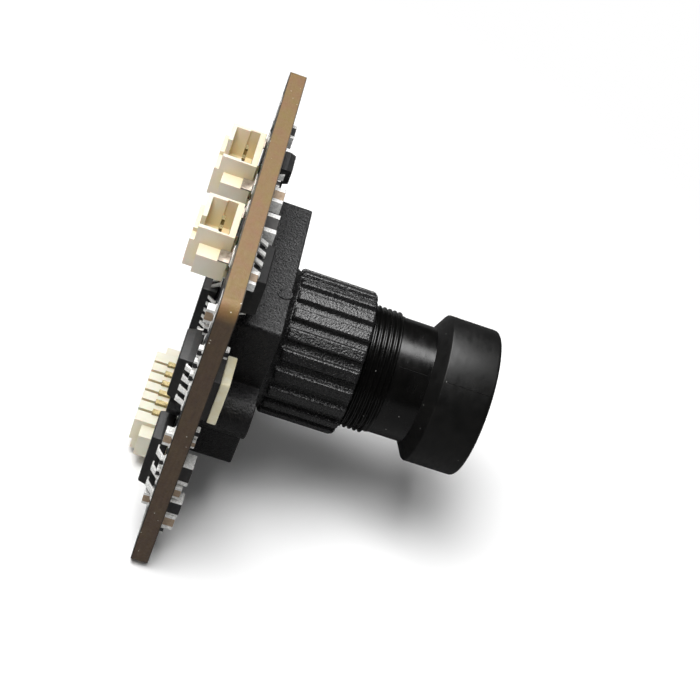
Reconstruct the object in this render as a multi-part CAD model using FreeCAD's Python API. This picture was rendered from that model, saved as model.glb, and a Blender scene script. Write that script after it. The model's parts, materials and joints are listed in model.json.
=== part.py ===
import FreeCAD, Part
import math
import os

# Camera module: a square circuit board with a moulded lens holder and a focusing lens.
# Lengths are millimetres. X runs along the board, Z is up, the lens looks along -Y.
# The origin is the centre of the board's back face, so the front face lies at -BOARD_THICKNESS.
# The lens axis runs a little below the board's centre.

# Circuit board
BOARD_WIDTH = 34.2
BOARD_HEIGHT = 34.2
BOARD_THICKNESS = 1.6
BOARD_CORNER_RADIUS = 1.4
BOARD_HOLE_SPACING = 28.0
BOARD_HOLE_DIAMETER = 2.2
LENS_AXIS_Z = -0.4

# Lens holder, distances measured forward from the board's front face
HOLDER_WIDTH = 17.7
HOLDER_BLOCK_HEIGHT = 4.4
HOLDER_CORNER_RADIUS = 0.5
HOLDER_CAVITY_WIDTH = 14.0
HOLDER_CAVITY_DEPTH = 3.2
HOLDER_WINDOW_WIDTH = 7.6
HOLDER_LEDGE = 0.8
HOLDER_COLLAR_LENGTH = 0.75
HOLDER_TOTAL_HEIGHT = 12.5
RIB_TIP_DIAMETER = 14.0
RIB_DEPTH = 0.48
RIB_COUNT = 22
RIB_TIP_WIDTH = 0.95
RIB_ROOT_WIDTH = 1.35
RIB_FIRST_ANGLE = 97.0
RIB_END_BEVEL = 0.2
RIB_ROOT_OVERLAP = 0.2
EAR_HOLE_SPACING = 21.0
EAR_RADIUS = 2.0

# Holder screws, driven from the back of the board
SCREW_DIAMETER = 1.9
SCREW_LENGTH = 5.0
SCREW_HEAD_DIAMETER = 3.6
SCREW_HEAD_HEIGHT = 1.2
SCREW_HOLE_CLEARANCE = 0.15
SCREW_SLOT_WIDTH = 0.45
SCREW_SLOT_LENGTH = 2.2
SCREW_SLOT_DEPTH = 0.6
SCREW_TIP_GAP = 0.4

# Lens, distances measured forward from the board's front face
LENS_THREAD_DIAMETER = 12.0
LENS_RUNNING_CLEARANCE = 0.03
LENS_REAR = 5.4
LENS_THREAD_END = 15.65
LENS_NECK_DIAMETER = 11.3
LENS_NECK_END = 18.8
LENS_BEVEL_LENGTH = 0.95
LENS_HOOD_DIAMETER = 14.4
LENS_FRONT = 24.55
REAR_STOP_DIAMETER = 6.4
REAR_STOP_THICKNESS = 0.8
LENS_BORE_DIAMETER = 9.4
FRONT_SEAT_DEPTH = 5.0
FRONT_LENS_EDGE = 1.1
RETAINER_HEIGHT = 0.9
RETAINER_WIDTH = 0.8
HOOD_MOUTH_DIAMETER = 12.8
REAR_LENS_EDGE = 1.8
MIDDLE_LENS_EDGE = 1.4
SPACER_WALL = 1.1
GLASS_CLEARANCE = 0.02

# Image sensor and infrared filter
SENSOR_WIDTH = 8.6
SENSOR_HEIGHT = 7.6
SENSOR_THICKNESS = 1.1
SENSOR_RIM = 0.9
SENSOR_RECESS = 0.35
COVER_GLASS_THICKNESS = 0.5
COVER_GLASS_MARGIN = 0.3
FILTER_WIDTH = 9.6
FILTER_THICKNESS = 0.5

# Cable connectors, side entry, opening at the board's edge
CONNECTOR_WALL = 0.4
CONNECTOR_FLOOR = 0.85
CONNECTOR_STANDOFF = 0.3
CONNECTOR_MOUTH_DEPTH = 3.0
CONNECTOR_KEY_DEPTH = 1.9
CONNECTOR_GUIDE_DEPTH = 0.18
CONNECTOR_GUIDE_HEIGHT = 0.9
CONNECTOR_WING_GAP = 0.25
CONNECTOR_REAR_GROOVE = 0.3
CONNECTOR_PIN_WIDTH = 0.55
CONNECTOR_PIN_THICKNESS = 0.3
CONNECTOR_PIN_RECESS = 0.7
CONNECTOR_FOOT_LENGTH = 0.9
TAB_THICKNESS = 0.15
TAB_HEIGHT = 1.1
TAB_FOOT_LENGTH = 0.9

# Two-way connectors at the top edge
SIDE_EDGE_INSET = 2.2
SIDE_DEPTH = 4.4
SIDE_HEIGHT = 3.4
SIDE_REAR_HEIGHT = 3.8
SIDE_REAR_START = 1.5
SIDE_WING_WIDTH = 1.45
SIDE_WING_HEIGHT = 2.9
SIDE_WING_START = 1.65
SIDE_WING_LENGTH = 2.0
SIDE_PIN_HEIGHT = 1.5
RIGHT_CONNECTOR_X = 6.08
RIGHT_CONNECTOR_MOUTH = 4.35
RIGHT_CONNECTOR_PITCH = 1.5
RIGHT_CONNECTOR_KEY = 2.2
LEFT_CONNECTOR_X = -4.12
LEFT_CONNECTOR_MOUTH = 3.85
LEFT_CONNECTOR_PITCH = 1.25
LEFT_CONNECTOR_KEY = 1.1

# Six-way cable connector at the bottom edge
CABLE_EDGE_INSET = 0.9
CABLE_DEPTH = 4.2
CABLE_HEIGHT = 3.37
CABLE_REAR_HEIGHT = 3.7
CABLE_REAR_START = 1.3
CABLE_WING_WIDTH = 1.45
CABLE_WING_HEIGHT = 2.85
CABLE_WING_START = 0.9
CABLE_WING_LENGTH = 2.8
CABLE_PIN_HEIGHT = 2.0
CABLE_CONNECTOR_X = 0.2
CABLE_CONNECTOR_PINS = 6
CABLE_CONNECTOR_PITCH = 1.33
CABLE_CONNECTOR_MOUTH = 8.7
CABLE_CONNECTOR_KEY = 2.2

# Chip packages
LEAD_THICKNESS = 0.15
LEAD_FOOT = 0.5
LEAD_SHOULDER_SHARE = 0.35
PACKAGE_STANDOFF = 0.12
PACKAGE_DRAFT = 0.12
SMALL_OUTLINE_PITCH = 1.27
SMALL_OUTLINE_LEADS_PER_SIDE = 4
SMALL_OUTLINE_END_TRIM = 0.2
SMALL_OUTLINE_WIDTH = 3.9
SMALL_OUTLINE_HEIGHT = 1.5
SMALL_OUTLINE_LEAD_WIDTH = 0.5
SMALL_OUTLINE_REACH = 1.05
PROCESSOR_WIDTH = 7.0
PROCESSOR_HEIGHT = 1.4
PROCESSOR_PITCH = 0.8
PROCESSOR_LEADS_PER_SIDE = 8
PROCESSOR_LEAD_WIDTH = 0.36
PROCESSOR_REACH = 1.0
REGULATOR_LENGTH = 6.5
REGULATOR_WIDTH = 3.5
REGULATOR_HEIGHT = 1.5
REGULATOR_PITCH = 2.3
REGULATOR_LEAD_WIDTH = 0.7
REGULATOR_TAB_WIDTH = 3.0
REGULATOR_REACH = 1.75
CRYSTAL_LENGTH = 5.1
CRYSTAL_WIDTH = 3.6
CRYSTAL_BASE_HEIGHT = 0.65
CRYSTAL_BASE_INSET = 0.15
CRYSTAL_LID_HEIGHT = 0.8
CRYSTAL_CORNER_RADIUS = 0.3
CRYSTAL_INSET = 4.35
INDUCTOR_LENGTH = 2.5
INDUCTOR_WIDTH = 2.0
INDUCTOR_HEIGHT = 1.2
INDUCTOR_TERMINAL = 0.5
DIODE_LENGTH = 2.7
DIODE_WIDTH = 1.6
DIODE_HEIGHT = 1.0
DIODE_LEAD_WIDTH = 0.6
DIODE_REACH = 0.5
FERRITE_LENGTH = 2.9
FERRITE_WIDTH = 1.3
FERRITE_HEIGHT = 1.0
FERRITE_TERMINAL = 0.5
TRANSISTOR_LENGTH = 2.9
TRANSISTOR_WIDTH = 1.3
TRANSISTOR_HEIGHT = 1.0
TRANSISTOR_PITCH = 1.9
TRANSISTOR_LEAD_WIDTH = 0.4
TRANSISTOR_REACH = 0.55
SHORT_FOOT = 0.25

# Chip resistors and capacitors: length, width, height and end cap length
CHIP_SMALL = (1.0, 0.5, 0.4, 0.25)
CHIP_MEDIUM = (1.6, 0.8, 0.7, 0.35)
CHIP_LARGE = (2.0, 1.25, 1.05, 0.45)
CHIP_FLAT = (2.0, 1.25, 0.45, 0.4)
CHIP_BLOCK = (1.9, 1.25, 1.15, 0.2)

# Rows and insets, distances from the board's edge to a part's centre
BACK_EDGE_INSET = 0.9
BACK_SECOND_INSET = 6.1
BACK_RIGHT_INSET = 2.5
FRONT_EDGE_INSET = 2.2
TOP_EDGE_INSET = 2.3
DRIVER_CHIP_INSET = 5.1
REGULATOR_INSET = 5.0
INDUCTOR_INSET = 3.3
DIODE_INSET = 2.8
FERRITE_INSET = 2.7
TRANSISTOR_INSET = 2.6
TOP_CAPACITOR_INSET = 2.6
CORNER_CAPACITOR_INSET = 2.2
HOLDER_TO_MEMORY_CHIP = 0.65

LEFT = -BOARD_WIDTH / 2
RIGHT = BOARD_WIDTH / 2
TOP = BOARD_HEIGHT / 2
BOTTOM = -BOARD_HEIGHT / 2
BACK_LEFT_ROW = LEFT + BACK_EDGE_INSET
BACK_SECOND_ROW = LEFT + BACK_SECOND_INSET
BACK_RIGHT_ROW = RIGHT - BACK_RIGHT_INSET
FRONT_LEFT_ROW = LEFT + FRONT_EDGE_INSET
FRONT_RIGHT_ROW = RIGHT - FRONT_EDGE_INSET
FRONT_TOP_ROW = TOP - TOP_EDGE_INSET
HOLDER_TOP = LENS_AXIS_Z + HOLDER_WIDTH / 2
MEMORY_CHIP_Z = (
    HOLDER_TOP + HOLDER_TO_MEMORY_CHIP + SMALL_OUTLINE_REACH + SMALL_OUTLINE_WIDTH / 2
)

# Places of the parts on the board: x, z and turn
PROCESSOR_PLACE = (0.5, 1.9, 0)
DRIVER_CHIP_PLACE = (LEFT + DRIVER_CHIP_INSET, 5.0, 90)
MEMORY_CHIP_PLACE = (-7.1, MEMORY_CHIP_Z, 0)
REGULATOR_PLACE = (LEFT + REGULATOR_INSET, -6.2, -90)
CRYSTAL_PLACE = (LEFT + CRYSTAL_INSET, 4.1, 90)
INDUCTOR_PLACE = (-2.9, TOP - INDUCTOR_INSET, 0)
DIODE_PLACE = (5.6, TOP - DIODE_INSET, 0)
FERRITE_PLACE = (LEFT + FERRITE_INSET, -5.05, 90)
TRANSISTOR_PLACE = (RIGHT - TRANSISTOR_INSET, 5.1, -90)

# Places of the chips: size, x, z and turn
BACK_RESISTORS = [
    (CHIP_SMALL, BACK_LEFT_ROW, 11.2, 90),
    (CHIP_SMALL, BACK_LEFT_ROW, 9.7, 90),
    (CHIP_SMALL, BACK_LEFT_ROW, 8.2, 90),
    (CHIP_SMALL, BACK_SECOND_ROW, 8.6, 90),
    (CHIP_SMALL, BACK_LEFT_ROW, -2.7, 90),
    (CHIP_SMALL, BACK_LEFT_ROW, -4.2, 90),
    (CHIP_SMALL, BACK_RIGHT_ROW, 2.6, 90),
]
BACK_CAPACITORS = [
    (CHIP_MEDIUM, BACK_SECOND_ROW, 10.4, 90),
    (CHIP_MEDIUM, LEFT + 1.3, 0.1, 90),
    (CHIP_MEDIUM, LEFT + 2.9, -10.35, 90),
    (CHIP_MEDIUM, 8.2, -4.9, 0),
    (CHIP_LARGE, RIGHT - 4.5, -8.4, 90),
]
FRONT_RESISTORS = [
    (CHIP_FLAT, 9.6, FRONT_TOP_ROW, 0),
    (CHIP_SMALL, 2.2, FRONT_TOP_ROW, 0),
    (CHIP_SMALL, FRONT_LEFT_ROW, 10.6, 90),
    (CHIP_SMALL, FRONT_LEFT_ROW, 0.6, 90),
    (CHIP_BLOCK, FRONT_LEFT_ROW, -9.35, 90),
    (CHIP_SMALL, FRONT_LEFT_ROW, -13.3, 90),
    (CHIP_SMALL, FRONT_RIGHT_ROW, -4.4, 90),
]
FRONT_CAPACITORS = [
    (CHIP_LARGE, 0.55, TOP - TOP_CAPACITOR_INSET, 0),
    (CHIP_MEDIUM, -10.7, TOP - CORNER_CAPACITOR_INSET, 0),
    (CHIP_SMALL, FRONT_LEFT_ROW, -0.8, 90),
    (CHIP_MEDIUM, FRONT_LEFT_ROW, -7.5, 90),
    (CHIP_LARGE, FRONT_LEFT_ROW, -11.45, 90),
]

AXIS_POINT = FreeCAD.Vector(0, 0, 0)
AXIS_Y = FreeCAD.Vector(0, 1, 0)
AXIS_Z = FreeCAD.Vector(0, 0, 1)
TOLERANCE = 1e-6


# Basic shapes

def box(x_range, y_range, z_range):
    size = [high - low for low, high in (x_range, y_range, z_range)]
    corner = FreeCAD.Vector(x_range[0], y_range[0], z_range[0])
    return Part.makeBox(size[0], size[1], size[2], corner)


def centred(width, centre=0.0):
    return centre - width / 2, centre + width / 2


def front_y(distance):
    """The Y of a plane that lies this far forward of the board's front face."""
    return -BOARD_THICKNESS - distance


def post(diameter, y_start, y_end, x=0.0, z=0.0):
    """A round post along Y."""
    base = FreeCAD.Vector(x, min(y_start, y_end), z)
    return Part.makeCylinder(diameter / 2, abs(y_end - y_start), base, AXIS_Y)


def turned(outline):
    """A turned piece on the lens axis, from points of radius and forward distance."""
    points = [FreeCAD.Vector(radius, front_y(distance), 0) for radius, distance in outline]
    wire = Part.makePolygon(points + points[:1])
    return Part.Face(wire).revolve(AXIS_POINT, AXIS_Y, 360)


def extruded(points, vector):
    wire = Part.makePolygon(points + points[:1])
    return Part.Face(wire).extrude(vector)


def edges_along(shape, direction):
    """The straight edges of a shape that run parallel to a direction."""
    found = []
    for edge in shape.Edges:
        if len(edge.Vertexes) == 2:
            run = edge.Vertexes[1].Point - edge.Vertexes[0].Point
            if run.Length > 0 and run.cross(direction).Length < TOLERANCE * run.Length:
                found.append(edge)
    return found


def joined(shapes):
    return shapes[0].multiFuse(shapes[1:]).removeSplitter()


def on_back(shape, x, z, turn=0.0):
    """Puts a part, modelled standing on the XY plane, on the board's back face."""
    placed = shape.copy()
    placed.rotate(AXIS_POINT, AXIS_Z, turn)
    placed.rotate(AXIS_POINT, FreeCAD.Vector(1, 0, 0), -90)
    placed.translate(FreeCAD.Vector(x, 0, z))
    return placed


def on_front(shape, x, z, turn=0.0):
    """Puts a part, modelled standing on the XY plane, on the board's front face."""
    placed = shape.copy()
    placed.rotate(AXIS_POINT, AXIS_Z, turn)
    placed.rotate(AXIS_POINT, FreeCAD.Vector(1, 0, 0), 90)
    placed.translate(FreeCAD.Vector(x, -BOARD_THICKNESS, z))
    return placed


# Board and holder

def circuit_board():
    board = box((LEFT, RIGHT), (-BOARD_THICKNESS, 0), (BOTTOM, TOP))
    board = board.makeFillet(BOARD_CORNER_RADIUS, edges_along(board, AXIS_Y))
    holes = []
    for x in centred(BOARD_HOLE_SPACING):
        for z in centred(BOARD_HOLE_SPACING):
            holes.append(post(BOARD_HOLE_DIAMETER, -BOARD_THICKNESS, 0, x, z))
    for x in centred(EAR_HOLE_SPACING):
        diameter = SCREW_DIAMETER + 2 * SCREW_HOLE_CLEARANCE
        holes.append(post(diameter, -BOARD_THICKNESS, 0, x, LENS_AXIS_Z))
    return board.cut(holes)


def holder_block():
    """The square foot of the holder with its two screw ears."""
    y_range = (front_y(HOLDER_BLOCK_HEIGHT), front_y(0))
    block = box(centred(HOLDER_WIDTH), y_range, centred(HOLDER_WIDTH))
    block = block.makeFillet(HOLDER_CORNER_RADIUS, edges_along(block, AXIS_Y))
    arm = box(centred(EAR_HOLE_SPACING), y_range, centred(2 * EAR_RADIUS))
    ears = [post(2 * EAR_RADIUS, y_range[0], y_range[1], x) for x in centred(EAR_HOLE_SPACING)]
    return joined([block, arm] + ears)


def rib_polygon(flat_radius, distance):
    """Corners of a ring whose flats lie in the valleys between the grip ribs."""
    corner = flat_radius / math.cos(math.pi / RIB_COUNT)
    points = []
    for i in range(RIB_COUNT):
        angle = math.radians(RIB_FIRST_ANGLE + 360 * i / RIB_COUNT)
        x = corner * math.cos(angle)
        z = corner * math.sin(angle)
        points.append(FreeCAD.Vector(x, front_y(distance), z))
    return points


def holder_collar(flat_radius, distance):
    """The sloping collar between the block and the grip ribs."""
    low = rib_polygon(RIB_TIP_DIAMETER / 2, HOLDER_BLOCK_HEIGHT)
    high = rib_polygon(flat_radius, distance)
    outlines = [low, high]
    for i in range(RIB_COUNT):
        after = (i + 1) % RIB_COUNT
        outlines.append([low[i], low[after], high[after], high[i]])
    faces = [Part.Face(Part.makePolygon(points + points[:1])) for points in outlines]
    return Part.Solid(Part.makeShell(faces))


def holder_rib(angle):
    """One grip rib, a tapered bar with a rounded rear end, at an angle about the axis."""
    rear = HOLDER_BLOCK_HEIGHT + HOLDER_COLLAR_LENGTH
    tip = RIB_TIP_DIAMETER / 2
    root = tip - RIB_DEPTH - RIB_ROOT_OVERLAP
    start = front_y(rear)
    section = [
        FreeCAD.Vector(root, start, -RIB_ROOT_WIDTH / 2),
        FreeCAD.Vector(tip, start, -RIB_TIP_WIDTH / 2),
        FreeCAD.Vector(tip, start, RIB_TIP_WIDTH / 2),
        FreeCAD.Vector(root, start, RIB_ROOT_WIDTH / 2),
    ]
    rib = extruded(section, FreeCAD.Vector(0, front_y(HOLDER_TOTAL_HEIGHT) - start, 0))
    end_edges = []
    for edge in rib.Edges:
        middle = edge.CenterOfMass
        if abs(middle.x - tip) < TOLERANCE and abs(middle.z) < TOLERANCE:
            end_edges.append(edge)
    rib = rib.makeChamfer(RIB_END_BEVEL, end_edges)
    rib.rotate(AXIS_POINT, AXIS_Y, -angle)
    return rib


def lens_holder():
    tube_radius = RIB_TIP_DIAMETER / 2 - RIB_DEPTH
    body = holder_block()
    tube_rear = HOLDER_BLOCK_HEIGHT / 2
    tube_length = HOLDER_TOTAL_HEIGHT - tube_rear
    tube = extruded(rib_polygon(tube_radius, tube_rear), FreeCAD.Vector(0, -tube_length, 0))
    collar = holder_collar(tube_radius, HOLDER_BLOCK_HEIGHT + HOLDER_COLLAR_LENGTH)
    ribs = [holder_rib(RIB_FIRST_ANGLE + 360 * i / RIB_COUNT) for i in range(RIB_COUNT)]
    body = joined([body, tube, collar] + ribs)
    cavity = box(
        centred(HOLDER_CAVITY_WIDTH),
        (front_y(HOLDER_CAVITY_DEPTH), front_y(0)),
        centred(HOLDER_CAVITY_WIDTH),
    )
    ledge_top = HOLDER_CAVITY_DEPTH + HOLDER_LEDGE
    window = box(
        centred(HOLDER_WINDOW_WIDTH),
        (front_y(ledge_top), front_y(HOLDER_CAVITY_DEPTH)),
        centred(HOLDER_WINDOW_WIDTH),
    )
    bore = post(LENS_THREAD_DIAMETER, front_y(ledge_top), front_y(HOLDER_TOTAL_HEIGHT))
    pilot_depth = SCREW_LENGTH - BOARD_THICKNESS + SCREW_TIP_GAP
    pilots = [
        post(SCREW_DIAMETER, front_y(0), front_y(pilot_depth), x)
        for x in centred(EAR_HOLE_SPACING)
    ]
    return body.cut([cavity, window, bore] + pilots)


def holder_screws():
    """Two pan-head screws that hold the lens holder from the back of the board."""
    screws = []
    for x in centred(EAR_HOLE_SPACING):
        shank = post(SCREW_DIAMETER, -SCREW_LENGTH, 0, x)
        head = post(SCREW_HEAD_DIAMETER, 0, SCREW_HEAD_HEIGHT, x)
        screw = joined([shank, head])
        slot_y = (SCREW_HEAD_HEIGHT - SCREW_SLOT_DEPTH, SCREW_HEAD_HEIGHT)
        cross = [
            box(centred(SCREW_SLOT_LENGTH, x), slot_y, centred(SCREW_SLOT_WIDTH)),
            box(centred(SCREW_SLOT_WIDTH, x), slot_y, centred(SCREW_SLOT_LENGTH)),
        ]
        screws.append(screw.cut(cross))
    return screws


# Sensor and optics

def image_sensor():
    """The sensor package: a shallow tray that carries its cover glass."""
    package = box(
        centred(SENSOR_WIDTH),
        (front_y(SENSOR_THICKNESS), front_y(0)),
        centred(SENSOR_HEIGHT),
    )
    tray = box(
        centred(SENSOR_WIDTH - 2 * SENSOR_RIM),
        (front_y(SENSOR_THICKNESS), front_y(SENSOR_THICKNESS - SENSOR_RECESS)),
        centred(SENSOR_HEIGHT - 2 * SENSOR_RIM),
    )
    return package.cut(tray)


def sensor_cover_glass():
    """The clear plate on the sensor's rim."""
    return box(
        centred(SENSOR_WIDTH - 2 * COVER_GLASS_MARGIN),
        (front_y(SENSOR_THICKNESS + COVER_GLASS_THICKNESS), front_y(SENSOR_THICKNESS)),
        centred(SENSOR_HEIGHT - 2 * COVER_GLASS_MARGIN),
    )


def infrared_filter():
    """The filter glass, glued behind the holder's inner ledge."""
    return box(
        centred(FILTER_WIDTH),
        (front_y(HOLDER_CAVITY_DEPTH), front_y(HOLDER_CAVITY_DEPTH - FILTER_THICKNESS)),
        centred(FILTER_WIDTH),
    )


def lens_levels():
    """Forward distances of the seats inside the lens barrel, from rear to front."""
    rear_seat = LENS_REAR + REAR_STOP_THICKNESS
    front_seat = LENS_FRONT - FRONT_SEAT_DEPTH
    rear_lens_front = rear_seat + REAR_LENS_EDGE
    free_length = front_seat - rear_lens_front - MIDDLE_LENS_EDGE
    middle_rear = rear_lens_front + free_length / 2
    return {
        "rear_seat": rear_seat,
        "rear_lens_front": rear_lens_front,
        "middle_rear": middle_rear,
        "middle_front": middle_rear + MIDDLE_LENS_EDGE,
        "front_seat": front_seat,
        "front_lens_front": front_seat + FRONT_LENS_EDGE,
        "retainer_front": front_seat + FRONT_LENS_EDGE + RETAINER_HEIGHT,
    }


def lens_barrel():
    """Threaded barrel, neck and flared hood, turned in one piece."""
    level = lens_levels()
    thread = LENS_THREAD_DIAMETER / 2 - LENS_RUNNING_CLEARANCE
    neck = LENS_NECK_DIAMETER / 2
    hood = LENS_HOOD_DIAMETER / 2
    mouth = HOOD_MOUTH_DIAMETER / 2
    bore = LENS_BORE_DIAMETER / 2
    outline = [
        (REAR_STOP_DIAMETER / 2, LENS_REAR),
        (thread, LENS_REAR),
        (thread, LENS_THREAD_END),
        (neck, LENS_THREAD_END),
        (neck, LENS_NECK_END),
        (hood, LENS_NECK_END + LENS_BEVEL_LENGTH),
        (hood, LENS_FRONT),
        (mouth, LENS_FRONT),
        (mouth, level["retainer_front"]),
        (bore, level["retainer_front"]),
        (bore, level["rear_seat"]),
        (REAR_STOP_DIAMETER / 2, level["rear_seat"]),
    ]
    return turned(outline)


def glass(rear, front):
    """A lens element, drawn as the disc that its ground edge fills."""
    return post(LENS_BORE_DIAMETER - 2 * GLASS_CLEARANCE, front_y(rear), front_y(front))


def rear_lens():
    level = lens_levels()
    return glass(level["rear_seat"], level["rear_lens_front"])


def middle_lens():
    level = lens_levels()
    return glass(level["middle_rear"], level["middle_front"])


def front_lens():
    level = lens_levels()
    return glass(level["front_seat"], level["front_lens_front"])


def spacer(rear, front):
    """A tube between two lens elements that keeps them apart."""
    outer = LENS_BORE_DIAMETER / 2 - GLASS_CLEARANCE
    return turned([
        (outer - SPACER_WALL, rear),
        (outer, rear),
        (outer, front),
        (outer - SPACER_WALL, front),
    ])


def rear_spacer():
    level = lens_levels()
    return spacer(level["rear_lens_front"], level["middle_rear"])


def front_spacer():
    level = lens_levels()
    return spacer(level["middle_front"], level["front_seat"])


def front_retaining_ring():
    """The ring that holds the front lens on its seat."""
    level = lens_levels()
    outer = LENS_BORE_DIAMETER / 2 - GLASS_CLEARANCE
    return turned([
        (outer - RETAINER_WIDTH, level["front_lens_front"]),
        (outer, level["front_lens_front"]),
        (outer, level["retainer_front"]),
        (outer - RETAINER_WIDTH, level["retainer_front"]),
    ])


# Connectors, modelled with the mouth plane at y = 0 and the opening towards +y

def pin_positions(count, pitch):
    return [pitch * (i - (count - 1) / 2) for i in range(count)]


def connector_pins(positions, shape):
    """Contact pins that run back through the housing and down to the board."""
    height = shape["pin_height"]
    top = height + CONNECTOR_PIN_THICKNESS
    rear = -shape["depth"] - CONNECTOR_PIN_THICKNESS
    foot_end = rear - CONNECTOR_FOOT_LENGTH
    outline = [
        (-CONNECTOR_PIN_RECESS, height),
        (-CONNECTOR_PIN_RECESS, top),
        (rear, top),
        (rear, CONNECTOR_PIN_THICKNESS),
        (foot_end, CONNECTOR_PIN_THICKNESS),
        (foot_end, 0),
        (-shape["depth"], 0),
        (-shape["depth"], height),
    ]
    pins = []
    for x in positions:
        start = x - CONNECTOR_PIN_WIDTH / 2
        points = [FreeCAD.Vector(start, y, z) for y, z in outline]
        pins.append(extruded(points, FreeCAD.Vector(CONNECTOR_PIN_WIDTH, 0, 0)))
    return pins


def connector_shroud(width, shape):
    """The housing before its mouth is cut: a stepped block on a foot, with two side wings."""
    rear = -shape["depth"]
    wing_front = -shape["wing_start"]
    wing_rear = wing_front - shape["wing_length"]
    parts = [
        box(centred(width), (rear, 0), (CONNECTOR_STANDOFF, shape["height"])),
        box(centred(width), (rear, -shape["rear_start"]), (CONNECTOR_STANDOFF, shape["rear_height"])),
        box(centred(width), (rear, rear + 2 * CONNECTOR_WALL), (0, CONNECTOR_STANDOFF)),
    ]
    for side in (-1, 1):
        inner = side * width / 2
        outer = side * (width / 2 + shape["wing_width"])
        parts.append(box(
            (min(inner, outer), max(inner, outer)),
            (wing_rear, wing_front),
            (CONNECTOR_WING_GAP, shape["wing_height"]),
        ))
    return joined(parts)


def connector_housing(mouth_width, key_width, pins, shape):
    """Keyed shroud, open at its mouth, with a groove over each pin at the rear."""
    width = mouth_width + 2 * CONNECTOR_WALL
    rear = -shape["depth"]
    mouth_top = shape["height"] - CONNECTOR_WALL
    mouth = box(centred(mouth_width), (-CONNECTOR_MOUTH_DEPTH, 0), (CONNECTOR_FLOOR, mouth_top))
    guides = box(
        centred(mouth_width + 2 * CONNECTOR_GUIDE_DEPTH),
        (-CONNECTOR_MOUTH_DEPTH, 0),
        (CONNECTOR_FLOOR, CONNECTOR_FLOOR + CONNECTOR_GUIDE_HEIGHT),
    )
    key = box(
        (mouth_width / 2 - key_width, mouth_width / 2),
        (-CONNECTOR_KEY_DEPTH, 0),
        (mouth_top, shape["rear_height"]),
    )
    groove_floor = shape["pin_height"] + CONNECTOR_PIN_THICKNESS
    grooves = []
    for x in pins:
        grooves.append(box(
            centred(CONNECTOR_REAR_GROOVE, x),
            (rear, rear + CONNECTOR_WALL),
            (groove_floor, shape["rear_height"]),
        ))
    cuts = [mouth, guides, key] + grooves + connector_pins(pins, shape)
    return connector_shroud(width, shape).cut(cuts)


def connector_tabs(mouth_width, shape):
    """Two low solder tabs that hold the housing to the board, one in front of each wing."""
    rear = -shape["wing_start"]
    outline = [
        (rear, 0),
        (rear, TAB_HEIGHT),
        (rear + TAB_THICKNESS, TAB_HEIGHT),
        (rear + TAB_THICKNESS, TAB_THICKNESS),
        (rear + TAB_FOOT_LENGTH, TAB_THICKNESS),
        (rear + TAB_FOOT_LENGTH, 0),
    ]
    inner = mouth_width / 2 + CONNECTOR_WALL
    tabs = []
    for start in (-inner - shape["wing_width"], inner):
        points = [FreeCAD.Vector(start, y, z) for y, z in outline]
        tabs.append(extruded(points, FreeCAD.Vector(shape["wing_width"], 0, 0)))
    return tabs


def side_shape():
    return {
        "depth": SIDE_DEPTH,
        "height": SIDE_HEIGHT,
        "rear_height": SIDE_REAR_HEIGHT,
        "rear_start": SIDE_REAR_START,
        "wing_width": SIDE_WING_WIDTH,
        "wing_height": SIDE_WING_HEIGHT,
        "wing_start": SIDE_WING_START,
        "wing_length": SIDE_WING_LENGTH,
        "pin_height": SIDE_PIN_HEIGHT,
    }


def cable_shape():
    return {
        "depth": CABLE_DEPTH,
        "height": CABLE_HEIGHT,
        "rear_height": CABLE_REAR_HEIGHT,
        "rear_start": CABLE_REAR_START,
        "wing_width": CABLE_WING_WIDTH,
        "wing_height": CABLE_WING_HEIGHT,
        "wing_start": CABLE_WING_START,
        "wing_length": CABLE_WING_LENGTH,
        "pin_height": CABLE_PIN_HEIGHT,
    }


# Chip packages, modelled standing on the XY plane

def gull_lead(width, reach, exit_height, foot=LEAD_FOOT):
    """A bent lead that leaves a package side at y = 0 and runs towards -y to its foot."""
    half = LEAD_THICKNESS / 2
    knee = -(reach - foot) * LEAD_SHOULDER_SHARE
    heel = -(reach - foot)
    outline = [
        (0, exit_height - half),
        (knee + half, exit_height - half),
        (heel, 0),
        (-reach, 0),
        (-reach, LEAD_THICKNESS),
        (heel - half, LEAD_THICKNESS),
        (knee - half, exit_height + half),
        (0, exit_height + half),
    ]
    points = [FreeCAD.Vector(-width / 2, y, z) for y, z in outline]
    return extruded(points, FreeCAD.Vector(width, 0, 0))


def fine_lead(width, reach, exit_height, foot=LEAD_FOOT):
    """A lead of a fine-pitch package: it slopes straight from the body to its foot."""
    half = LEAD_THICKNESS / 2
    heel = -(reach - foot)
    outline = [
        (0, exit_height - half),
        (heel, 0),
        (-reach, 0),
        (-reach, LEAD_THICKNESS),
        (heel - half, LEAD_THICKNESS),
        (0, exit_height + half),
    ]
    points = [FreeCAD.Vector(-width / 2, y, z) for y, z in outline]
    return extruded(points, FreeCAD.Vector(width, 0, 0))


def lead_row(positions, body_half, turn, width, reach, exit_height, foot=LEAD_FOOT, make=gull_lead):
    """A row of leads along one side of a package, turned about the package's centre."""
    row = []
    for x in positions:
        lead = make(width, reach, exit_height, foot)
        lead.translate(FreeCAD.Vector(x, -body_half, 0))
        lead.rotate(AXIS_POINT, AXIS_Z, turn)
        row.append(lead)
    return row


def moulded_body(length, width, height):
    """A moulded package whose upper half tapers from the parting line."""
    middle = PACKAGE_STANDOFF + height / 2
    top = PACKAGE_STANDOFF + height
    lower = box(centred(length), centred(width), (PACKAGE_STANDOFF, middle))

    def outline(inset, z):
        x = length / 2 - inset
        y = width / 2 - inset
        corners = [(-x, -y), (x, -y), (x, y), (-x, y), (-x, -y)]
        return Part.makePolygon([FreeCAD.Vector(a, b, z) for a, b in corners])

    upper = Part.makeLoft([outline(0, middle), outline(PACKAGE_DRAFT, top)], True, True)
    return joined([lower, upper])


def exit_height(height):
    """Leads leave the straight lower half of a package just under its parting line."""
    return PACKAGE_STANDOFF + height / 2 - LEAD_THICKNESS / 2


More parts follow.
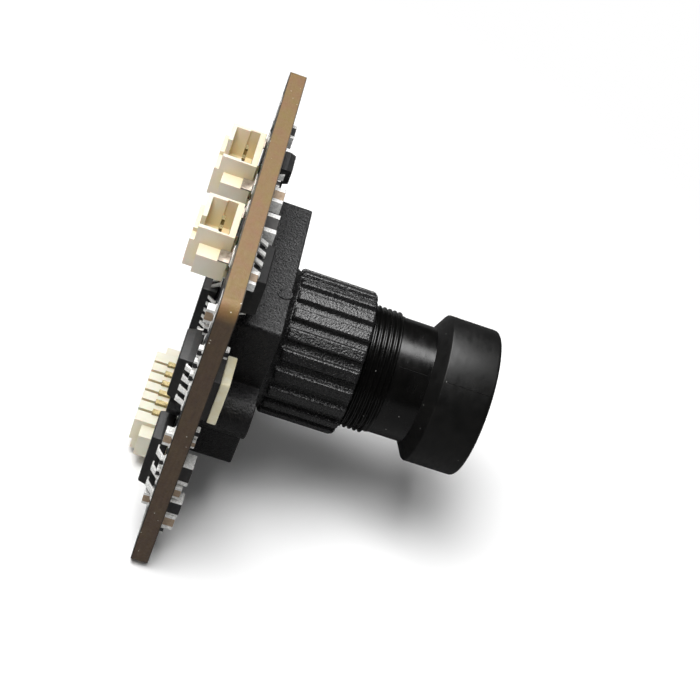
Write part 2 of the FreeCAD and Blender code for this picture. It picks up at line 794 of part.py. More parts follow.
def small_outline_body():
    length = SMALL_OUTLINE_PITCH * SMALL_OUTLINE_LEADS_PER_SIDE - SMALL_OUTLINE_END_TRIM
    return moulded_body(length, SMALL_OUTLINE_WIDTH, SMALL_OUTLINE_HEIGHT)


def small_outline_leads():
    positions = pin_positions(SMALL_OUTLINE_LEADS_PER_SIDE, SMALL_OUTLINE_PITCH)
    leads = []
    for turn in (0, 180):
        leads += lead_row(positions, SMALL_OUTLINE_WIDTH / 2, turn, SMALL_OUTLINE_LEAD_WIDTH,
                          SMALL_OUTLINE_REACH, exit_height(SMALL_OUTLINE_HEIGHT))
    return leads


def processor_leads():
    positions = pin_positions(PROCESSOR_LEADS_PER_SIDE, PROCESSOR_PITCH)
    leads = []
    for turn in (0, 90, 180, 270):
        leads += lead_row(positions, PROCESSOR_WIDTH / 2, turn, PROCESSOR_LEAD_WIDTH,
                          PROCESSOR_REACH, exit_height(PROCESSOR_HEIGHT), make=fine_lead)
    return leads


def regulator_leads():
    """Three leads on one side and a wide tab on the other."""
    positions = pin_positions(3, REGULATOR_PITCH)
    level = exit_height(REGULATOR_HEIGHT)
    half = REGULATOR_WIDTH / 2
    leads = lead_row(positions, half, 0, REGULATOR_LEAD_WIDTH, REGULATOR_REACH, level)
    return leads + lead_row([0], half, 180, REGULATOR_TAB_WIDTH, REGULATOR_REACH, level)


def transistor_leads():
    """Two leads on one side and one on the other."""
    level = exit_height(TRANSISTOR_HEIGHT)
    half = TRANSISTOR_WIDTH / 2
    pair = lead_row(pin_positions(2, TRANSISTOR_PITCH), half, 0, TRANSISTOR_LEAD_WIDTH,
                    TRANSISTOR_REACH, level, SHORT_FOOT)
    single = lead_row([0], half, 180, TRANSISTOR_LEAD_WIDTH, TRANSISTOR_REACH, level, SHORT_FOOT)
    return pair + single


def diode_leads():
    """Flat leads at both ends of the two-lead package."""
    leads = []
    for turn in (90, -90):
        leads += lead_row([0], DIODE_LENGTH / 2, turn, DIODE_LEAD_WIDTH, DIODE_REACH,
                          exit_height(DIODE_HEIGHT), SHORT_FOOT)
    return leads


def crystal_base():
    """The dark ceramic tray under the crystal's cap."""
    return box(
        centred(CRYSTAL_LENGTH - 2 * CRYSTAL_BASE_INSET),
        centred(CRYSTAL_WIDTH - 2 * CRYSTAL_BASE_INSET),
        (0, CRYSTAL_BASE_HEIGHT),
    )


def crystal_lid():
    """The pressed metal cap with its rounded corners."""
    lid = box(
        centred(CRYSTAL_LENGTH),
        centred(CRYSTAL_WIDTH),
        (CRYSTAL_BASE_HEIGHT, CRYSTAL_BASE_HEIGHT + CRYSTAL_LID_HEIGHT),
    )
    return lid.makeFillet(CRYSTAL_CORNER_RADIUS, edges_along(lid, AXIS_Z))


def chip_body(size):
    length, width, height, cap = size
    return box(centred(length - 2 * cap), centred(width), (0, height))


def chip_ends(size):
    length, width, height, cap = size
    return [
        box((-length / 2, -length / 2 + cap), centred(width), (0, height)),
        box((length / 2 - cap, length / 2), centred(width), (0, height)),
    ]


# Parts put in their places on the board

def chips(places, put, make):
    """Puts the bodies or the metal ends of a list of chips on one side of the board."""
    solids = []
    for size, x, z, turn in places:
        shapes = make(size)
        shapes = shapes if isinstance(shapes, list) else [shapes]
        solids += [put(shape, x, z, turn) for shape in shapes]
    return solids


def placed(shapes, put, place):
    shapes = shapes if isinstance(shapes, list) else [shapes]
    return [put(shape, *place) for shape in shapes]


def connector(name, place, mouth_width, key_width, pins, shape):
    """The three nodes of one connector: housing, pins and solder tabs."""
    housing = connector_housing(mouth_width, key_width, pins, shape)
    return {
        name + "_housing": placed(housing, on_back, place),
        name + "_pins": placed(connector_pins(pins, shape), on_back, place),
        name + "_tabs": placed(connector_tabs(mouth_width, shape), on_back, place),
    }


def connector_nodes():
    upper_z = TOP - SIDE_EDGE_INSET
    lower_z = BOTTOM + CABLE_EDGE_INSET
    right = connector("right_connector", (RIGHT_CONNECTOR_X, upper_z, 180), RIGHT_CONNECTOR_MOUTH,
                      RIGHT_CONNECTOR_KEY, pin_positions(2, RIGHT_CONNECTOR_PITCH), side_shape())
    left = connector("left_connector", (LEFT_CONNECTOR_X, upper_z, 180), LEFT_CONNECTOR_MOUTH,
                     LEFT_CONNECTOR_KEY, pin_positions(2, LEFT_CONNECTOR_PITCH), side_shape())
    cable = connector("cable_connector", (CABLE_CONNECTOR_X, lower_z, 0), CABLE_CONNECTOR_MOUTH,
                      CABLE_CONNECTOR_KEY,
                      pin_positions(CABLE_CONNECTOR_PINS, CABLE_CONNECTOR_PITCH), cable_shape())
    return {**right, **left, **cable}


def package_nodes():
    regulator_body = moulded_body(REGULATOR_LENGTH, REGULATOR_WIDTH, REGULATOR_HEIGHT)
    diode_body = moulded_body(DIODE_LENGTH, DIODE_WIDTH, DIODE_HEIGHT)
    transistor_body = moulded_body(TRANSISTOR_LENGTH, TRANSISTOR_WIDTH, TRANSISTOR_HEIGHT)
    processor_body = moulded_body(PROCESSOR_WIDTH, PROCESSOR_WIDTH, PROCESSOR_HEIGHT)
    inductor = (INDUCTOR_LENGTH, INDUCTOR_WIDTH, INDUCTOR_HEIGHT, INDUCTOR_TERMINAL)
    ferrite = (FERRITE_LENGTH, FERRITE_WIDTH, FERRITE_HEIGHT, FERRITE_TERMINAL)
    return {
        "processor": placed(processor_body, on_back, PROCESSOR_PLACE),
        "processor_leads": placed(processor_leads(), on_back, PROCESSOR_PLACE),
        "driver_chip": placed(small_outline_body(), on_back, DRIVER_CHIP_PLACE),
        "driver_chip_leads": placed(small_outline_leads(), on_back, DRIVER_CHIP_PLACE),
        "memory_chip": placed(small_outline_body(), on_front, MEMORY_CHIP_PLACE),
        "memory_chip_leads": placed(small_outline_leads(), on_front, MEMORY_CHIP_PLACE),
        "voltage_regulator": placed(regulator_body, on_back, REGULATOR_PLACE),
        "voltage_regulator_leads": placed(regulator_leads(), on_back, REGULATOR_PLACE),
        "crystal_base": placed(crystal_base(), on_front, CRYSTAL_PLACE),
        "crystal_lid": placed(crystal_lid(), on_front, CRYSTAL_PLACE),
        "power_inductor": placed(chip_body(inductor), on_front, INDUCTOR_PLACE),
        "power_inductor_terminals": placed(chip_ends(inductor), on_front, INDUCTOR_PLACE),
        "ferrite_bead": placed(chip_body(ferrite), on_front, FERRITE_PLACE),
        "ferrite_bead_terminals": placed(chip_ends(ferrite), on_front, FERRITE_PLACE),
        "protection_diode": placed(diode_body, on_front, DIODE_PLACE),
        "protection_diode_leads": placed(diode_leads(), on_front, DIODE_PLACE),
        "transistor": placed(transistor_body, on_front, TRANSISTOR_PLACE),
        "transistor_leads": placed(transistor_leads(), on_front, TRANSISTOR_PLACE),
    }


def chip_nodes():
    return {
        "back_resistors": chips(BACK_RESISTORS, on_back, chip_body),
        "back_resistor_ends": chips(BACK_RESISTORS, on_back, chip_ends),
        "back_capacitors": chips(BACK_CAPACITORS, on_back, chip_body),
        "back_capacitor_ends": chips(BACK_CAPACITORS, on_back, chip_ends),
        "front_resistors": chips(FRONT_RESISTORS, on_front, chip_body),
        "front_resistor_ends": chips(FRONT_RESISTORS, on_front, chip_ends),
        "front_capacitors": chips(FRONT_CAPACITORS, on_front, chip_body),
        "front_capacitor_ends": chips(FRONT_CAPACITORS, on_front, chip_ends),
    }


def lens_axis_nodes():
    """The holder, sensor and lens pieces, each made round the Y axis and moved to the lens axis."""
    pieces = {
        "lens_holder": [lens_holder()],
        "holder_screws": holder_screws(),
        "image_sensor": [image_sensor()],
        "sensor_cover_glass": [sensor_cover_glass()],
        "infrared_filter": [infrared_filter()],
        "lens_barrel": [lens_barrel()],
        "rear_lens": [rear_lens()],
        "rear_spacer": [rear_spacer()],
        "middle_lens": [middle_lens()],
        "front_spacer": [front_spacer()],
        "front_lens": [front_lens()],
        "front_retaining_ring": [front_retaining_ring()],
    }
    for solids in pieces.values():
        for solid in solids:
            solid.translate(FreeCAD.Vector(0, 0, LENS_AXIS_Z))
    return pieces


def all_nodes():
    nodes = {"circuit_board": [circuit_board()]}
    nodes.update(lens_axis_nodes())
    nodes.update(connector_nodes())
    nodes.update(package_nodes())
    nodes.update(chip_nodes())
    return nodes


def main():
    os.makedirs("parts", exist_ok=True)
    for name, solids in all_nodes().items():
        solids = [solid for shape in solids for solid in shape.Solids]
        shape = solids[0] if len(solids) == 1 else Part.makeCompound(solids)
        shape.exportStep("parts/" + name + ".step")


main()
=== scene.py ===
import json
import math
import random

import bmesh
import bpy
from mathutils import Matrix, Vector


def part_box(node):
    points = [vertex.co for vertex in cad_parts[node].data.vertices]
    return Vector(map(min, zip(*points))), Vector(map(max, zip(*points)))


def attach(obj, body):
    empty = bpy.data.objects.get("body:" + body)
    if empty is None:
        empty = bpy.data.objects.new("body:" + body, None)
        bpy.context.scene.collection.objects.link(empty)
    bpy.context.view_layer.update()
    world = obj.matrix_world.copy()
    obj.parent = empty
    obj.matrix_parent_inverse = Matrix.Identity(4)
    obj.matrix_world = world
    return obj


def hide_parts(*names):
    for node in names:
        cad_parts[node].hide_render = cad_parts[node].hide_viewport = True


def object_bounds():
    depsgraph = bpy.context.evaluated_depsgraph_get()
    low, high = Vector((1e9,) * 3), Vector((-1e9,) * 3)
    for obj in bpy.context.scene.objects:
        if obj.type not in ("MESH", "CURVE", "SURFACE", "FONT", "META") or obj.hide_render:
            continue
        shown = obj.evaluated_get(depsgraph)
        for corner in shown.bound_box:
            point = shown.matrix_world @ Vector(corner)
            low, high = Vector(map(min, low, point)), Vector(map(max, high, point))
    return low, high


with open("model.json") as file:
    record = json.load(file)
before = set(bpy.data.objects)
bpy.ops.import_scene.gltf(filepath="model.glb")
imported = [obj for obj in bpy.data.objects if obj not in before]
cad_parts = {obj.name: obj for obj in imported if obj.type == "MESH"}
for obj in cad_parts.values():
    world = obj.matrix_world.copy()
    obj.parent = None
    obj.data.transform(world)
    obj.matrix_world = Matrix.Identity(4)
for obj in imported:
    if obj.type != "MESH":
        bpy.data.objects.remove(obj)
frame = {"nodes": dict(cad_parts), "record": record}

# Looks of the camera module. Lengths in the named values are millimetres, and MM turns them
# into Blender's metres. X runs along the board, Z is up, the lens looks along -Y.

MM = 0.001
CAD_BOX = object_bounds()
BODIES = frame["record"]["behaviour"]["bodies"]
BODY_OF = {node: body for body, nodes in BODIES.items() for node in nodes}
WHITE = (1, 1, 1, 1)

# Camera, from the photograph's vanishing lines
CAMERA_PLACE = Vector((-86.9, 2.0, 82.5))
VIEW_DIRECTION = Vector((0.724, -0.127, -0.678))
IMAGE_RIGHT = Vector((0.126, -0.942, 0.311))
CAMERA_LENS = 66.4
SENSOR_WIDTH = 36.0
CLIP_NEAR = 5.0
CLIP_FAR = 5000.0

# Room
FLOOR_DROP = 0.02
FLOOR_SIZE = 1400.0
SHADOW_REACH = 60.0
FADE_REACH = 105.0
FLOOR_BOUNCE = 0.85
FLOOR_GLOSSY = 0.13
SKY_DIFFUSE = 0.2
SKY_GLOSSY = 0.012
KEY_PLACE = Vector((-46.0, 54.0, 290.0))
KEY_SIZE = 190.0
KEY_POWER = 1.25
SHEEN_PLACE = Vector((85.0, 75.0, 285.0))
SHEEN_SIZE = 310.0
SHEEN_POWER = 1.95

# Board, its cut edge and its copper
BOARD_THICKNESS = 1.6
LENS_AXIS_Z = -0.4
HOLE_SPACING = 28.0
HOLE_RADIUS = 1.1
RING_WIDTH = 0.55
RING_GAP = 0.02
SCREW_SPACING = 21.0
# Painted light: from this height up, the board's cut edge turns to a paler golden top tone for the light it
# catches.
PAINTED_TOP_LIGHT_FROM = 15.5
PAINTED_TOP_LIGHT_TO = 17.0
LIP_FROM = 0.70
LIP_TO = 0.75
COPPER_HEIGHT = 0.02
COPPER_STEP = 0.0002
TRACE_WIDTH = 0.16
VIA_RADIUS = 0.3
SINK = 0.01
EDGE_KEEP_OUT = 0.9
RING_KEEP_OUT = 0.4
SCREW_KEEP_OUT = 2.4
SHORTEST_RUN = 0.05
FIRST_LEG = (0.8, 2.2)
BENT_LEG = (0.5, 1.6)
LAST_LEG = (0.6, 2.8)
COPPER_SEED = 11

# Solder
FOOT_REACH = 0.06
PAD_MARGIN = 0.12
SOLDER_HEIGHT = 0.1
SOLDER_SHOULDER = 0.02

# Round mark beside a chip's first lead
MARK_INSET = 0.85
MARK_RADIUS = 0.3
MARK_SINK = 0.02
MARK_HEIGHT = 0.006

# Lens thread
THREAD_PITCH = 0.5
THREAD_DEPTH = 0.27
THREAD_CREST = 0.07
THREAD_ROOT = 0.05
THREAD_SEGMENTS = 96
THREAD_SINK = 0.06
THREAD_START = 5.6
THREAD_END = 15.45
THREAD_RELIEF = 0.4

# Holder, and the gate mark on it
FOOT_END = 4.5
GATE_RADIUS = 0.75
GATE_HEIGHT = 0.08
GATE_SLOPE = 0.08
GATE_RIM = 0.14
GATE_DIP = 0.045
GATE_DIP_SLOPE = 0.06
GATE_X = -3.7
GATE_Y = -5.37

# Hood, neck, their rounded rims and the hairlines along them
NECK_END = 18.8
HOOD_RADIUS = 7.2
NECK_RADIUS = 5.65
HOOD_ROUND = 0.28
MOUTH_ROUND = 0.12
BEVEL_ROUND = 0.09
HOOD_RIDGE = (-25.8, -21.6)
NECK_RIDGE = (-20.1, -17.5)
HOOD_RIDGE_ANGLE = 128
NECK_RIDGE_ANGLE = 126
RIDGE_HEIGHT = 0.035
RIDGE_HALF_WIDTH = 0.05
RIDGE_SINK = 0.04

# Mesh cleaning
WELD = 0.001
NEAR = 0.02
FLAT_ANGLE = math.radians(0.6)
SHARP_ANGLE = math.radians(32)

# Sockets of Blender's mix node, by their place in its list
FLOAT_A, FLOAT_B, FLOAT_RESULT = 2, 3, 0
COLOUR_A, COLOUR_B, COLOUR_RESULT = 6, 7, 2

# Noise, corner shading and dust
NOISE_ROUGHNESS = 0.55
CORNER_SHADE = 0.25
OPEN_SHADE = 0.95
SPECK_CORE = 0.6


# Nodes of a material

def add_node(tree, kind, inputs=(), **settings):
    """A shader node with its settings, and its inputs from values or other nodes' outputs."""
    node = tree.nodes.new(kind)
    for key, value in settings.items():
        setattr(node, key, value)
    for key, value in dict(inputs).items():
        if isinstance(value, bpy.types.NodeSocket):
            tree.links.new(value, node.inputs[key])
        else:
            node.inputs[key].default_value = value
    return node


def colour(value):
    return (value[0], value[1], value[2], 1.0)


def shader_of(made):
    return made.node_tree.nodes["Principled BSDF"]


def new_material(name, base, roughness, metallic=0.0, **sockets):
    made = bpy.data.materials.new(name)
    made.use_nodes = True
    shader = shader_of(made)
    shader.inputs["Base Color"].default_value = colour(base)
    shader.inputs["Roughness"].default_value = roughness
    shader.inputs["Metallic"].default_value = metallic
    for key, value in sockets.items():
        shader.inputs[key.replace("_", " ")].default_value = value
    made.diffuse_color = colour(base)
    return made


def position(tree, stretch=(1, 1, 1)):
    """Place on the object in millimetres, stretched for brushed or turned finishes."""
    spot = add_node(tree, "ShaderNodeTexCoord")
    scale = [s / MM for s in stretch]
    mapping = add_node(tree, "ShaderNodeMapping", {"Vector": spot.outputs["Object"], "Scale": scale})
    return mapping.outputs["Vector"]


def noise_at(tree, vector, size, detail=3.0):
    """Noise with features of this many millimetres."""
    node = add_node(tree, "ShaderNodeTexNoise",
                    {"Vector": vector, "Scale": 1.0 / size, "Detail": detail, "Roughness": NOISE_ROUGHNESS})
    return node.outputs["Fac"]


def spread(tree, value, low, high, start=0.3, end=0.7):
    node = add_node(tree, "ShaderNodeMapRange",
                    {"Value": value, "From Min": start, "From Max": end, "To Min": low, "To Max": high})
    return node.outputs["Result"]


def noise_patch(tree, size):
    """Soft patches of a size, from 0 to 1."""
    return spread(tree, noise_at(tree, position(tree), size, 4.0), 0.0, 1.0)


def blend_colours(tree, factor, first, second):
    """A mix of two colours, each a value or another node's output."""
    mix = add_node(tree, "ShaderNodeMix", data_type="RGBA")
    tree.links.new(factor, mix.inputs["Factor"])
    for slot, value in ((COLOUR_A, first), (COLOUR_B, second)):
        if isinstance(value, bpy.types.NodeSocket):
            tree.links.new(value, mix.inputs[slot])
        else:
            mix.inputs[slot].default_value = colour(value)
    return mix.outputs[COLOUR_RESULT]


def mottle(made, first, second, size, share=1.0):
    """Varies the base colour between two tones over patches of a size."""
    tree = made.node_tree
    value = spread(tree, noise_at(tree, position(tree), size), 0.0, share)
    tree.links.new(blend_colours(tree, value, first, second), shader_of(made).inputs["Base Color"])


def vary_roughness(made, low, high, size, stretch=(1, 1, 1)):
    """Varies the roughness between two levels over patches of a size."""
    tree = made.node_tree
    value = spread(tree, noise_at(tree, position(tree, stretch), size), low, high)
    tree.links.new(value, shader_of(made).inputs["Roughness"])
    return made


def grain(made, size, depth, strength=1.0, stretch=(1, 1, 1)):
    """Bump of a grain size and depth in millimetres."""
    tree = made.node_tree
    bump = add_node(tree, "ShaderNodeBump", {
        "Height": noise_at(tree, position(tree, stretch), size),
        "Distance": depth * MM,
        "Strength": strength,
    })
    shader = shader_of(made)
    if shader.inputs["Normal"].is_linked:
        tree.links.new(shader.inputs["Normal"].links[0].from_socket, bump.inputs["Normal"])
    tree.links.new(bump.outputs["Normal"], shader.inputs["Normal"])
    return made


def repaint(made, factor, tone):
    """Mixes a tone over the base colour by a factor."""
    tree = made.node_tree
    socket = shader_of(made).inputs["Base Color"]
    base = socket.links[0].from_socket
    tree.links.new(blend_colours(tree, factor, base, tone), socket)


def painted_corner_shade(made, tone, reach, share=1.0):
    """Painted shade: a tone mixed over the base colour in corners and recesses, where ambient occlusion
    finds them.
    """
    tree = made.node_tree
    shade = add_node(tree, "ShaderNodeAmbientOcclusion", {"Distance": reach * MM}, samples=8)
    repaint(made, spread(tree, shade.outputs["AO"], share, 0.0, CORNER_SHADE, OPEN_SHADE), tone)


def dust(made, tone, size, share, amount):
    """Rare light specks. A larger share makes them bigger, and the amount is their strength."""
    tree = made.node_tree
    spot = add_node(tree, "ShaderNodeTexVoronoi", {"Vector": position(tree), "Scale": 1.0 / size})
    repaint(made, spread(tree, spot.outputs["Distance"], amount, 0.0, share * SPECK_CORE, share), tone)


# Materials

def solder_mask():
    """Satin black lacquer over the board's copper."""
    made = new_material("solder_mask_black", (0.008, 0.009, 0.010), 0.32,
                        Coat_Weight=0.2, Coat_Roughness=0.15)
    mottle(made, (0.007, 0.008, 0.009), (0.014, 0.016, 0.016), 2.5)
    vary_roughness(made, 0.28, 0.40, 0.8)
    return grain(made, 0.5, 0.012, 0.5)


def covered_copper():
    """Lacquer over raised copper, a shade lighter than round it."""
    made = new_material("mask_over_copper", (0.020, 0.023, 0.023), 0.28,
                        Coat_Weight=0.3, Coat_Roughness=0.1)
    mottle(made, (0.017, 0.020, 0.020), (0.028, 0.030, 0.030), 1.0)
    return grain(made, 0.3, 0.01, 0.5)


def laminate():
    """The board's cut edge of glass fibre, browner on its sides and with a dark lip; its top is painted
    golden and paler as painted light from above.
    """
    made = new_material("board_edge_laminate", (0.40, 0.27, 0.15), 0.55)
    tree = made.node_tree
    spot = add_node(tree, "ShaderNodeTexCoord")
    parts = add_node(tree, "ShaderNodeSeparateXYZ", {"Vector": spot.outputs["Object"]})
    # Painted light: the top of the cut edge is painted paler and golden for the light from above; the sides
    # keep the darker brown.
    height = spread(tree, parts.outputs["Z"], 0.0, 1.0, PAINTED_TOP_LIGHT_FROM * MM, PAINTED_TOP_LIGHT_TO * MM)
    upper = blend_colours(tree, noise_patch(tree, 1.6), (0.200, 0.135, 0.030), (0.215, 0.105, 0.045))
    lower = blend_colours(tree, noise_patch(tree, 1.1), (0.080, 0.053, 0.028), (0.070, 0.041, 0.029))
    layers = spread(tree, noise_at(tree, position(tree, (0.35, 2.0, 0.35)), 0.5, 4.0), 0.0, 0.3)
    base = blend_colours(tree, height, lower, upper)
    base = blend_colours(tree, layers, base, (0.16, 0.10, 0.045))
    half_thickness = BOARD_THICKNESS / 2 * MM
    middle = add_node(tree, "ShaderNodeMath", {0: parts.outputs["Y"], 1: half_thickness}, operation="ADD")
    away = add_node(tree, "ShaderNodeMath", {0: middle.outputs[0]}, operation="ABSOLUTE")
    lip = spread(tree, away.outputs[0], 0.0, 0.85, LIP_FROM * MM, LIP_TO * MM)
    base = blend_colours(tree, lip, base, (0.02, 0.018, 0.015))
    tree.links.new(base, shader_of(made).inputs["Base Color"])
    dust(made, (0.75, 0.72, 0.62), 0.9, 0.07, 0.8)
    vary_roughness(made, 0.42, 0.7, 0.3)
    grain(made, 0.35, 0.03, 0.6, stretch=(0.3, 1.0, 0.3))
    return grain(made, 0.09, 0.03, 0.8, stretch=(0.5, 1.6, 0.5))


def moulded_plastic(name, roughness, specular, low, high):
    """Black glass-filled plastic with a coarse moulded texture."""
    made = new_material(name, (0.009, 0.009, 0.0095), roughness, Specular_IOR_Level=specular)
    mottle(made, (0.006, 0.006, 0.0064), (0.013, 0.0125, 0.013), 0.4)
    vary_roughness(made, low, high, 0.15)
    grain(made, 0.5, 0.045, 0.6)
    return grain(made, 0.19, 0.10, 1.0)


def anodised():
    """Black anodised aluminium with faint turning lines and a few dust specks."""
    made = new_material("lens_anodised", (0.0025, 0.0025, 0.0024), 0.22, Specular_IOR_Level=0.55)
    mottle(made, (0.002, 0.002, 0.0019), (0.004, 0.0038, 0.0036), 1.2)
    dust(made, (0.4, 0.4, 0.38), 1.3, 0.05, 0.7)
    vary_roughness(made, 0.17, 0.28, 0.6, stretch=(0.5, 1.5, 0.5))
    return grain(made, 0.16, 0.0045, 0.6)


def hood_black():
    """The satin black of the hood and its bevel, duller than the neck."""
    made = new_material("hood_satin_black", (0.004, 0.004, 0.0038), 0.42, Specular_IOR_Level=0.45)
    mottle(made, (0.003, 0.003, 0.0029), (0.006, 0.0058, 0.0055), 1.2)
    dust(made, (0.4, 0.4, 0.38), 1.3, 0.05, 0.7)
    vary_roughness(made, 0.36, 0.5, 0.6, stretch=(0.5, 1.5, 0.5))
    return grain(made, 0.14, 0.006, 0.7)


def nylon(name, light, dark, painted_recess_shade):
    """Pale connector plastic, slightly translucent, with a warm painted shade in its recesses."""
    made = new_material(name, light, 0.42, Subsurface_Weight=0.25, Subsurface_Scale=0.5 * MM)
    mottle(made, light, dark, 1.1, 0.6)
    # Painted shade: the warm recess tone is mixed in where ambient occlusion finds corners.
    painted_corner_shade(made, painted_recess_shade, 2.2, 0.75)
    vary_roughness(made, 0.34, 0.52, 0.4)
    return grain(made, 0.25, 0.02, 0.5)


def package_resin():
    """Black moulding compound of the chip packages."""
    made = new_material("package_resin", (0.012, 0.012, 0.0125), 0.42)
    mottle(made, (0.010, 0.010, 0.0105), (0.019, 0.0185, 0.0185), 0.6)
    vary_roughness(made, 0.34, 0.52, 0.2)
    return grain(made, 0.09, 0.016, 0.7)


def pin_mark():
    """The smooth moulded dimple that marks the first lead."""
    made = new_material("package_mark", (0.018, 0.018, 0.018), 0.2)
    vary_roughness(made, 0.16, 0.26, 0.3)
    return grain(made, 0.2, 0.004, 0.5)


def tinned():
    """Bright tin on leads, chip ends and solder, with painted shade darkening its corners."""
    made = new_material("tinned_metal", (0.93, 0.93, 0.91), 0.26, 0.15)
    mottle(made, (0.95, 0.95, 0.93), (0.82, 0.81, 0.78), 0.35)
    # Painted shade: dark grey mixed into the tin's corners and gaps.
    painted_corner_shade(made, (0.30, 0.28, 0.25), 0.4, 0.4)
    vary_roughness(made, 0.2, 0.36, 0.2)
    return grain(made, 0.22, 0.014, 0.6)


def dull_tin():
    """Aged tin over brass on the connectors' solder tabs."""
    made = new_material("tab_metal", (0.42, 0.36, 0.29), 0.34, 0.6)
    mottle(made, (0.48, 0.42, 0.35), (0.26, 0.21, 0.17), 0.35)
    vary_roughness(made, 0.28, 0.42, 0.2)
    return grain(made, 0.2, 0.01, 0.6)


def gold():
    """Worn bronze-gold plating of the contacts."""
    made = new_material("contact_gold", (0.36, 0.29, 0.14), 0.34, 0.65)
    mottle(made, (0.40, 0.33, 0.17), (0.20, 0.15, 0.06), 0.35)
    vary_roughness(made, 0.22, 0.38, 0.2)
    return grain(made, 0.2, 0.008, 0.6)


def ceramic(name, light, dark, roughness=0.45):
    made = new_material(name, light, roughness)
    mottle(made, light, dark, 0.3)
    return grain(made, 0.1, 0.02, 0.7)


def screw_steel():
    """Black zinc-plated steel."""
    made = new_material("screw_steel", (0.10, 0.10, 0.105), 0.34, 1.0)
    mottle(made, (0.08, 0.08, 0.085), (0.16, 0.16, 0.16), 0.3)
    vary_roughness(made, 0.28, 0.45, 0.2)
    return grain(made, 0.12, 0.01, 0.6)


def lens_glass(name, coat):
    """Clear optical glass; the coating gives its reflections a tint."""
    made = new_material(name, (0.93, 0.96, 0.95), 0.02, Transmission_Weight=1.0, IOR=1.55)
    shader = shader_of(made)
    shader.inputs["Specular Tint"].default_value = colour(coat)
    return vary_roughness(made, 0.015, 0.03, 2.0)


def crystal_metal():
    """The pale gold-plated cap of the crystal."""
    made = new_material("crystal_cap_metal", (0.98, 0.93, 0.70), 0.36, 0.05)
    mottle(made, (0.98, 0.93, 0.72), (0.90, 0.80, 0.50), 0.7)
    vary_roughness(made, 0.28, 0.42, 0.3)
    return grain(made, 0.2, 0.01, 0.6)


FINISH = {
    "mask": solder_mask(),
    "copper": covered_copper(),
    "laminate": laminate(),
    "holder": moulded_plastic("holder_plastic", 0.34, 0.5, 0.24, 0.4),
    "grip": moulded_plastic("grip_plastic", 0.28, 0.95, 0.2, 0.36),
    "anodised": anodised(),
    "hood": hood_black(),
    # The third tone of each connector plastic is the painted shade of its recesses.
    "ivory": nylon("connector_ivory", (0.78, 0.73, 0.62), (0.73, 0.67, 0.54), (0.70, 0.55, 0.26)),
    "cream": nylon("connector_cream", (0.86, 0.83, 0.70), (0.80, 0.76, 0.60), (0.56, 0.48, 0.30)),
    "resin": package_resin(),
    "pin_mark": pin_mark(),
    "tin": tinned(),
    "tab": dull_tin(),
    "gold": gold(),
    "screw": screw_steel(),
    "sensor_package": ceramic("sensor_ceramic", (0.10, 0.09, 0.085), (0.07, 0.065, 0.06)),
    "cover_glass": lens_glass("sensor_cover_glass_clear", (0.9, 0.95, 1.0)),
    "filter_glass": lens_glass("infrared_filter_glass", (0.9, 0.35, 0.45)),
    "glass": lens_glass("lens_element_glass", (0.55, 0.75, 1.0)),
    "front_glass": lens_glass("front_lens_coated_glass", (0.45, 0.95, 0.6)),
    "crystal_cap": crystal_metal(),
    "crystal_base": ceramic("crystal_ceramic", (0.045, 0.042, 0.04), (0.03, 0.028, 0.027)),
    "resistor": ceramic("resistor_body_black", (0.014, 0.014, 0.015), (0.028, 0.026, 0.026), 0.3),
    "capacitor": ceramic("capacitor_ceramic_beige", (0.42, 0.31, 0.21), (0.32, 0.22, 0.14), 0.4),
    "ferrite": ceramic("ferrite_dark", (0.024, 0.022, 0.022), (0.04, 0.036, 0.034), 0.5),
}


# Building pieces

def cad_shell(node):
    """A copy of a CAD node's mesh with its flat faces joined up again."""
    shell = bmesh.new()
    shell.from_mesh(frame["nodes"][node].data)
    bmesh.ops.remove_doubles(shell, verts=shell.verts, dist=WELD * MM)
    bmesh.ops.dissolve_limit(shell, angle_limit=FLAT_ANGLE, verts=shell.verts, edges=shell.edges)
    return shell


def new_piece(name, shell, finishes, body, round_off=0.0):
    """A piece from a bmesh, shaded smooth over soft edges, riding on a CAD body."""
    mesh = bpy.data.meshes.new(name)
    bmesh.ops.recalc_face_normals(shell, faces=shell.faces)
    shell.to_mesh(mesh)
    shell.free()
    for finish in finishes:
        mesh.materials.append(FINISH[finish])
    mesh.shade_smooth()
    mesh.set_sharp_from_angle(angle=SHARP_ANGLE)
    piece = bpy.data.objects.new(name, mesh)
    bpy.context.scene.collection.objects.link(piece)
    if round_off:
        bevel = piece.modifiers.new("soft_edges", "BEVEL")
        bevel.width = round_off * MM
        bevel.segments = 2
        bevel.limit_method = "ANGLE"
        bevel.angle_limit = SHARP_ANGLE
        bevel.harden_normals = True
    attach(piece, body)
    return piece


def dress(node, finish, round_off):
    """Stands in for a CAD node with the same form, softened edges and a finish."""
    piece = new_piece(node + "_dressed", cad_shell(node), [finish], BODY_OF[node], round_off)
    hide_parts(node)


def dress_board():
    """The board: black mask on both faces, bare laminate at its edge."""
    shell = cad_shell("circuit_board")
    for face in shell.faces:
        face.normal_update()
        face.material_index = 0 if abs(face.normal.y) > 0.9 else 1
    piece = new_piece("circuit_board_dressed", shell, ["mask", "laminate"], "board")
    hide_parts("circuit_board")


def dress_holder():
    """The holder: matt at its foot, and a little shinier from the collar to the ribs' front."""
    shell = cad_shell("lens_holder")
    for face in shell.faces:
        face.material_index = 1 if lens_along(face.calc_center_median()) > FOOT_END else 0
    piece = new_piece("lens_holder_dressed", shell, ["holder", "grip"], "board", 0.2)
    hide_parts("lens_holder")


